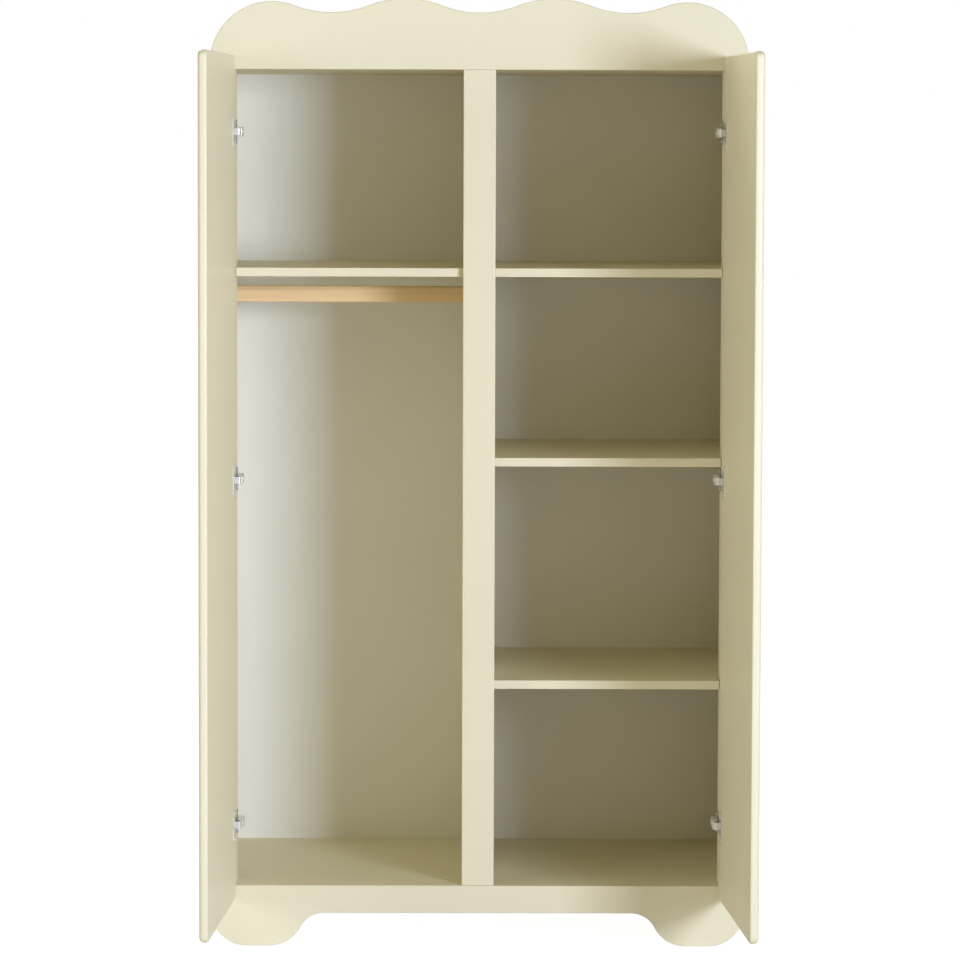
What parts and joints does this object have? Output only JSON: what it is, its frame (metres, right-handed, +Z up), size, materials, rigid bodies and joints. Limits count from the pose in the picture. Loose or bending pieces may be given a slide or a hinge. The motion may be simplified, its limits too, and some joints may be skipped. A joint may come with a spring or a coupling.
{
  "type": "two-door wardrobe",
  "caption": "Low free-standing two-door wardrobe with scalloped crown, bulb feet, shelves on one side and hanging rail on the other.",
  "frame": {"origin": "on the floor, midway across, and midway between the back and the reach of the open doors", "axes": "+Z up, +Y towards the back, +X towards the right-hand door as seen from the front"},
  "size_m": [0.995, 1.0361, 1.762],
  "materials": {
    "frame_lacquer": "cream satin lacquer on board",
    "case_lacquer": "cream satin lacquer on board",
    "door_lacquer": "cream satin lacquer on board",
    "back_board": "pale painted hardboard",
    "rail_wood": "clear lacquered pale wood",
    "raw_wood": "unfinished pale wood",
    "socket_plastic": "cream moulded plastic",
    "hinge_steel": "nickel plated pressed steel",
    "screw_steel": "nickel plated steel",
    "cam_metal": "plain die cast metal"
  },
  "bodies": {
    "cabinet": {"crown_board": "frame_lacquer", "apron_board": "frame_lacquer", "centre_stile": "frame_lacquer", "left_stile": "frame_lacquer", "right_stile": "frame_lacquer", "left_side": "case_lacquer", "right_side": "case_lacquer", "top_panel": "case_lacquer", "bottom_panel": "case_lacquer", "divider_panel": "case_lacquer", "left_back_panel": "back_board", "right_back_panel": "back_board", "rear_rail": "case_lacquer", "corner_blocks": "raw_wood", "left_hinge_batten": "case_lacquer", "right_hinge_batten": "case_lacquer", "left_shelf": "case_lacquer", "right_upper_shelf": "case_lacquer", "right_middle_shelf": "case_lacquer", "right_lower_shelf": "case_lacquer", "hanging_rail": "rail_wood", "left_rail_socket": "socket_plastic", "right_rail_socket": "socket_plastic", "left_lower_hinge_arm": "hinge_steel", "left_middle_hinge_arm": "hinge_steel", "left_upper_hinge_arm": "hinge_steel", "right_lower_hinge_arm": "hinge_steel", "right_middle_hinge_arm": "hinge_steel", "right_upper_hinge_arm": "hinge_steel", "left_lower_hinge_plate": "hinge_steel", "left_middle_hinge_plate": "hinge_steel", "left_upper_hinge_plate": "hinge_steel", "right_lower_hinge_plate": "hinge_steel", "right_middle_hinge_plate": "hinge_steel", "right_upper_hinge_plate": "hinge_steel", "plate_screws": "screw_steel", "arm_screws": "screw_steel", "rail_screws": "screw_steel", "shelf_pins": "screw_steel", "frame_dowels": "raw_wood", "case_dowels": "raw_wood", "cam_locks": "cam_metal", "cam_bolts": "cam_metal", "panel_screws": "screw_steel", "back_screws": "screw_steel"},
    "left_door_leaf": {"left_door": "door_lacquer", "left_lower_hinge_cup": "hinge_steel", "left_middle_hinge_cup": "hinge_steel", "left_upper_hinge_cup": "hinge_steel", "left_hinge_pins": "screw_steel", "left_cup_screws": "screw_steel"},
    "right_door_leaf": {"right_door": "door_lacquer", "right_lower_hinge_cup": "hinge_steel", "right_middle_hinge_cup": "hinge_steel", "right_upper_hinge_cup": "hinge_steel", "right_hinge_pins": "screw_steel", "right_cup_screws": "screw_steel"}
  },
  "joints": [
    {"name": "left_door_swing", "type": "hinge", "parent": "cabinet", "child": "left_door_leaf", "pos_m": [-0.4595, -0.06025, 0.873], "axis": [0, 0, -1], "range_deg": [-93.1, 6.9]},
    {"name": "right_door_swing", "type": "hinge", "parent": "cabinet", "child": "right_door_leaf", "pos_m": [0.4595, -0.06025, 0.873], "axis": [0, 0, 1], "range_deg": [-93.4, 6.6]}
  ]
}
